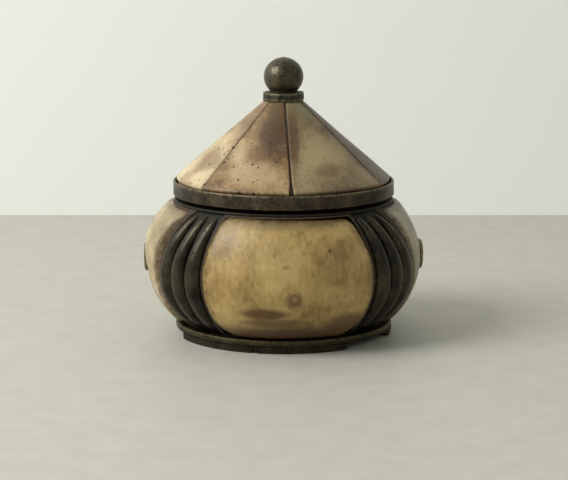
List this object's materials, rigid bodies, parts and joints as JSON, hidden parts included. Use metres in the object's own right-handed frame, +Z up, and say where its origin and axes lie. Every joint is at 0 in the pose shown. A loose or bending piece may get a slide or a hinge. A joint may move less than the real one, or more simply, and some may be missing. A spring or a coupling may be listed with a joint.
{
  "type": "inkwell",
  "caption": "Round inkwell of bone panels on an aged brass vessel, with a loose conical lid of bone wedges and a ball finial.",
  "frame": {"origin": "on the vessel's axis, in the plane that the feet stand on", "axes": "+Z up along the vessel's axis, -Y out of the wide front panel, +X to the right seen from the front"},
  "size_m": [0.0702, 0.0682, 0.069],
  "materials": {
    "aged_brass": "satin",
    "bone": "satin",
    "lac": "matte"
  },
  "bodies": {
    "pot": {"base_disc": "aged_brass", "foot_segment_1": "aged_brass", "foot_segment_2": "aged_brass", "foot_segment_3": "aged_brass", "foot_segment_4": "aged_brass", "foot_segment_5": "aged_brass", "ink_vessel": "aged_brass", "bone_panel_front": "bone", "bone_panel_right": "bone", "bone_panel_back": "bone", "bone_panel_left": "bone", "lac_bed_front": "lac", "lac_bed_right": "lac", "lac_bed_back": "lac", "lac_bed_left": "lac", "side_stud_right": "aged_brass", "side_stud_left": "aged_brass", "corner_plate_front_right": "aged_brass", "corner_plate_back_right": "aged_brass", "corner_plate_back_left": "aged_brass", "corner_plate_front_left": "aged_brass", "rib_front_right_1": "aged_brass", "rib_front_right_2": "aged_brass", "rib_front_right_3": "aged_brass", "rib_back_right_1": "aged_brass", "rib_back_right_2": "aged_brass", "rib_back_right_3": "aged_brass", "rib_back_left_1": "aged_brass", "rib_back_left_2": "aged_brass", "rib_back_left_3": "aged_brass", "rib_front_left_1": "aged_brass", "rib_front_left_2": "aged_brass", "rib_front_left_3": "aged_brass", "neck_plate": "aged_brass", "lid_seat": "aged_brass"},
    "lid": {"lid_floor": "aged_brass", "lid_rim": "aged_brass", "lid_flange": "aged_brass", "lid_core": "lac", "bone_wedge_1": "bone", "bone_wedge_2": "bone", "bone_wedge_3": "bone", "bone_wedge_4": "bone", "bone_wedge_5": "bone", "bone_wedge_6": "bone", "bone_wedge_7": "bone", "finial_collar": "aged_brass", "finial": "aged_brass", "finial_rove": "aged_brass"}
  },
  "joints": [
    {"name": "lid_lift", "type": "slide", "parent": "pot", "child": "lid", "axis": [0, 0, 1], "range_m": [0, 0.03]}
  ]
}
